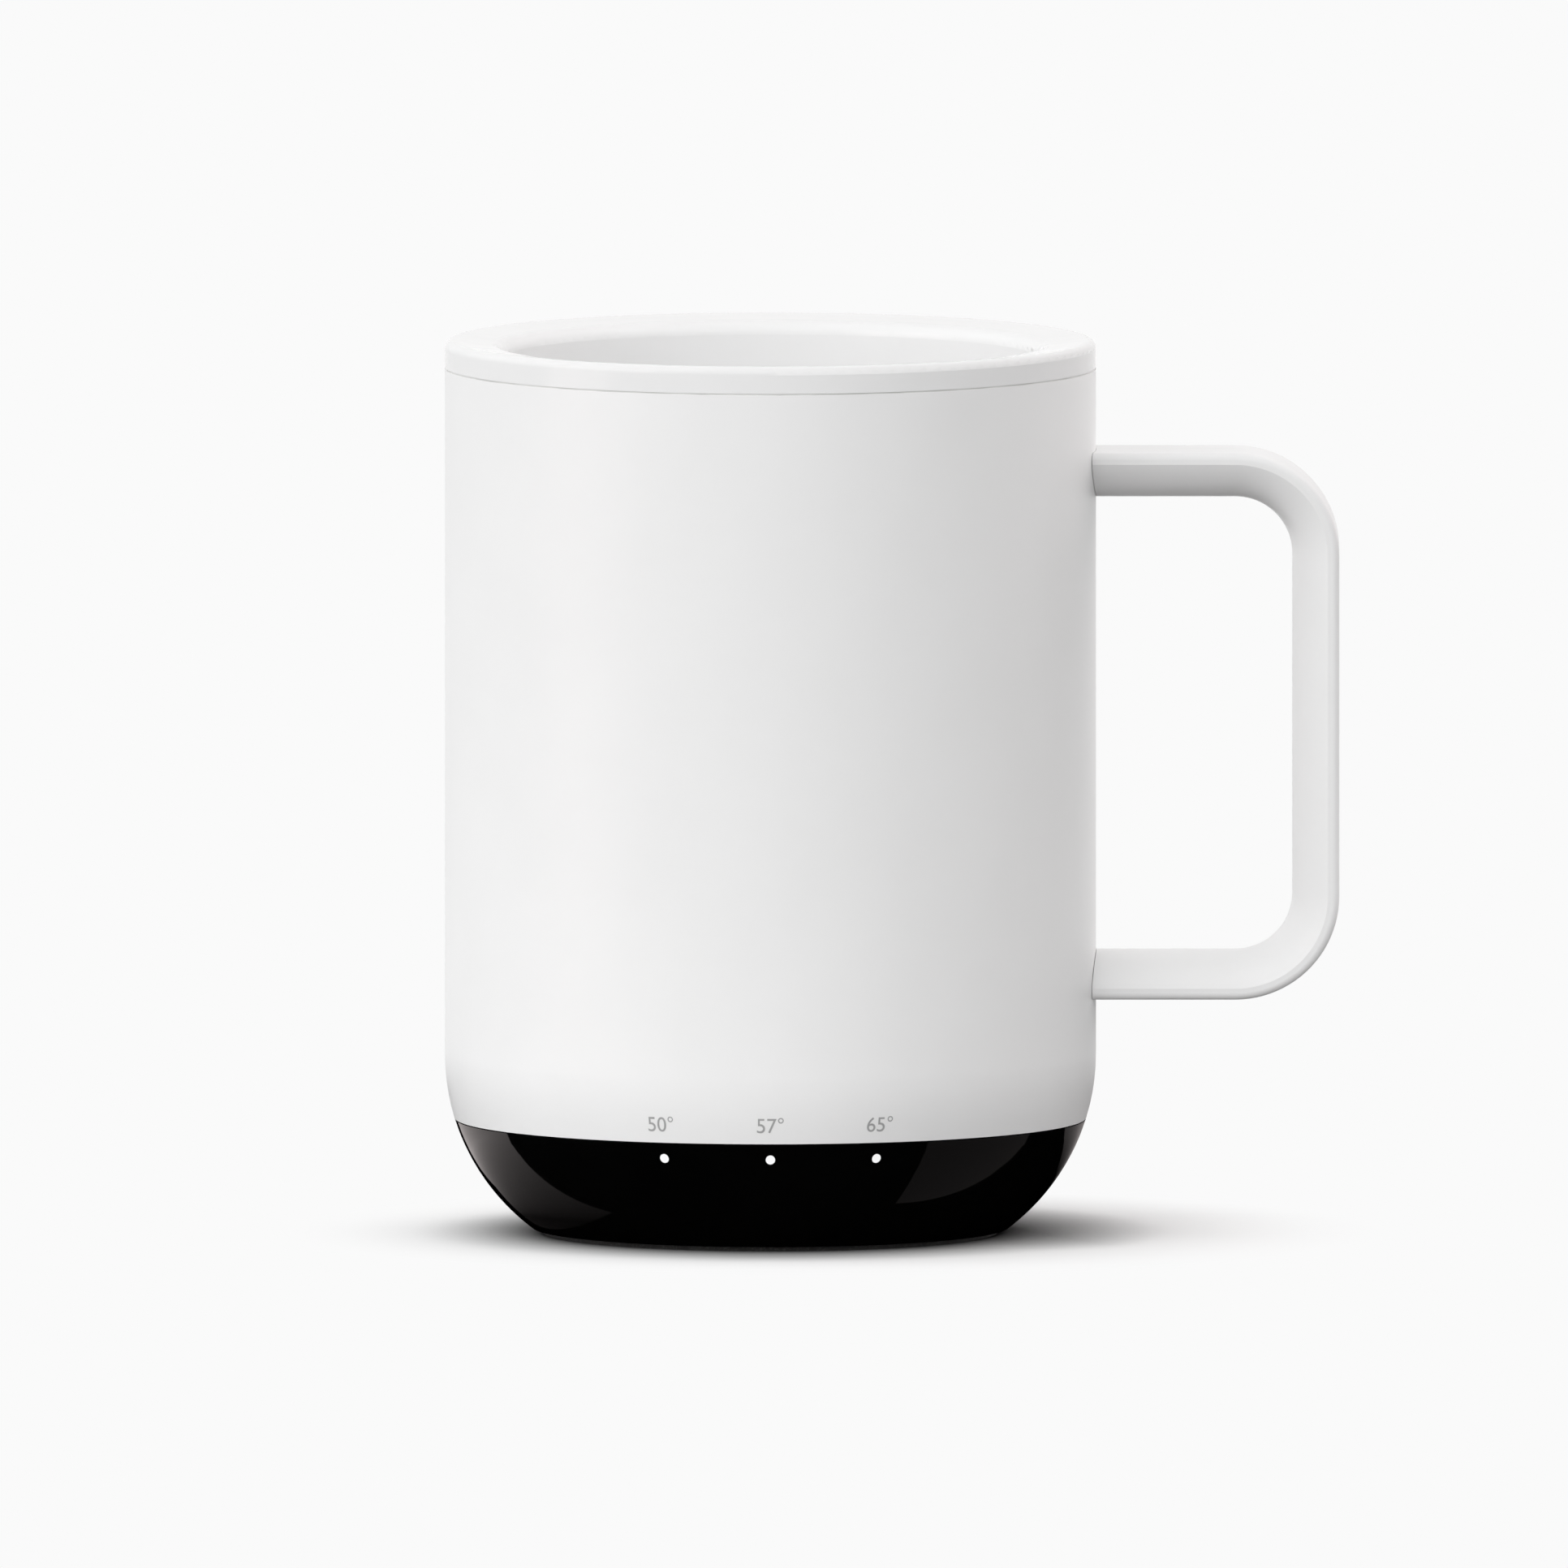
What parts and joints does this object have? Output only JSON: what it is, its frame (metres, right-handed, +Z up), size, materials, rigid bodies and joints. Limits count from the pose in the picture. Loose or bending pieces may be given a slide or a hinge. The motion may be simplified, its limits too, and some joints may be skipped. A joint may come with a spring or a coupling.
{
  "type": "self-heating mug",
  "caption": "Straight-sided self-heating mug with a glazed cup and lip, satin shell, loop handle and gloss black base with indicator lights, charging contacts and a push button underneath.",
  "frame": {"origin": "on the mug's axis, on the surface that it stands on", "axes": "+Z up along the axis, +X towards the handle, -Y towards the front with the lights"},
  "size_m": [0.1099, 0.08, 0.11],
  "materials": {
    "glaze_white": "gloss",
    "shell_white": "satin",
    "base_black": "gloss",
    "cover_black": "matte",
    "foot_rubber": "matte",
    "button_black": "satin",
    "seal_white": "satin",
    "seal_grey": "matte",
    "boot_silicone": "satin",
    "light_lens": "gloss",
    "led_cream": "gloss",
    "holder_black": "matte",
    "screw_steel": "satin",
    "insert_brass": "satin",
    "contact_gold": "polished",
    "board_green": "satin",
    "chip_black": "matte",
    "inductor_grey": "matte",
    "socket_ivory": "satin",
    "tray_black": "matte",
    "chassis_grey": "matte",
    "cell_foil": "satin",
    "link_nickel": "satin",
    "foam_grey": "matte",
    "film_amber": "gloss",
    "wire_red": "satin",
    "wire_blue": "satin",
    "sensor_bead": "gloss",
    "fuse_tan": "matte",
    "switch_metal": "satin",
    "plunger_black": "matte"
  },
  "bodies": {
    "mug": {"inner_cup": "glaze_white", "outer_shell": "shell_white", "handle": "shell_white", "base_shell": "base_black", "bottom_cover": "cover_black", "foot_ring": "foot_rubber", "lip_seal": "seal_white", "base_seal": "seal_grey", "cover_seal": "seal_grey", "button_boot": "boot_silicone", "light_pipe_1": "light_lens", "light_pipe_2": "light_lens", "light_pipe_3": "light_lens", "led_1": "led_cream", "led_2": "led_cream", "led_3": "led_cream", "led_holder": "holder_black", "handle_screws": "screw_steel", "chassis_screws": "screw_steel", "cover_screws": "screw_steel", "handle_inserts": "insert_brass", "contact_ring_inner": "contact_gold", "contact_ring_outer": "contact_gold", "contact_pins": "contact_gold", "main_board": "board_green", "indicator_board": "board_green", "control_chip": "chip_black", "power_inductor": "inductor_grey", "heater_connector": "socket_ivory", "battery_connector": "socket_ivory", "sensor_connector": "socket_ivory", "indicator_connector": "socket_ivory", "board_spacers": "socket_ivory", "battery_tray": "tray_black", "chassis": "chassis_grey", "battery_cell_1": "cell_foil", "battery_cell_2": "cell_foil", "cell_links": "link_nickel", "battery_foam": "foam_grey", "insulation_pad": "foam_grey", "insulation_wrap": "foam_grey", "heater_film": "film_amber", "indicator_ribbon": "film_amber", "battery_leads": "wire_red", "heater_leads": "wire_red", "sensor_leads": "wire_blue", "temperature_sensor": "sensor_bead", "thermal_fuse": "fuse_tan", "tact_switch": "switch_metal"},
    "button": {"power_button": "button_black", "switch_plunger": "plunger_black"}
  },
  "joints": [
    {"name": "button_press", "type": "slide", "parent": "mug", "child": "button", "axis": [0, 0, 1], "range_m": [0, 0.0005], "stiffness_N_per_m": 300, "springref_m": -0.0005, "deforming": ["button_boot"]}
  ]
}
